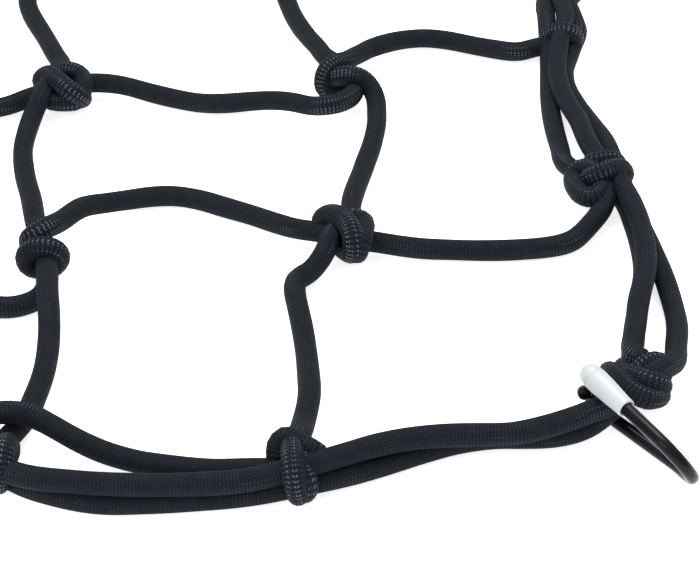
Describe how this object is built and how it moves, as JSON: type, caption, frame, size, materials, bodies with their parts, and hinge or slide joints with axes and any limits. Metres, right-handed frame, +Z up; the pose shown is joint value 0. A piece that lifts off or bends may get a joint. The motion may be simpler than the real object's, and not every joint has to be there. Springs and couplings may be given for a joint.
{
  "type": "elastic cargo net",
  "caption": "Square elastic cargo net with knotted cells, a border of bundled cords and a coated wire hook at each corner, lying loose on a flat surface.",
  "frame": {"origin": "middle of the net's square, on the surface it lies on", "axes": "+X to the right and +Y away along the rows and columns of cells, +Z up from the surface"},
  "size_m": [0.4134, 0.4134, 0.017],
  "materials": {
    "cord": "matt black braided sleeve over rubber",
    "coating": "glossy black dipped coating over steel wire",
    "cap": "smooth off-white moulded plastic"
  },
  "bodies": {
    "root": {"border_front": "cord", "border_right": "cord", "border_back": "cord", "border_left": "cord", "corner_knot_1": "cord", "corner_knot_2": "cord", "corner_knot_3": "cord", "corner_knot_4": "cord", "row_1": "cord", "row_2": "cord", "row_3": "cord", "row_4": "cord", "column_1_part_1": "cord", "column_1_part_2": "cord", "column_1_part_3": "cord", "column_1_part_4": "cord", "column_1_part_5": "cord", "column_2_part_1": "cord", "column_2_part_2": "cord", "column_2_part_3": "cord", "column_2_part_4": "cord", "column_2_part_5": "cord", "column_3_part_1": "cord", "column_3_part_2": "cord", "column_3_part_3": "cord", "column_3_part_4": "cord", "column_3_part_5": "cord", "column_4_part_1": "cord", "column_4_part_2": "cord", "column_4_part_3": "cord", "column_4_part_4": "cord", "column_4_part_5": "cord", "hook_wire_1": "coating", "hook_wire_2": "coating", "hook_wire_3": "coating", "hook_wire_4": "coating", "hook_cap_1": "cap", "hook_cap_2": "cap", "hook_cap_3": "cap", "hook_cap_4": "cap"}
  },
  "joints": []
}
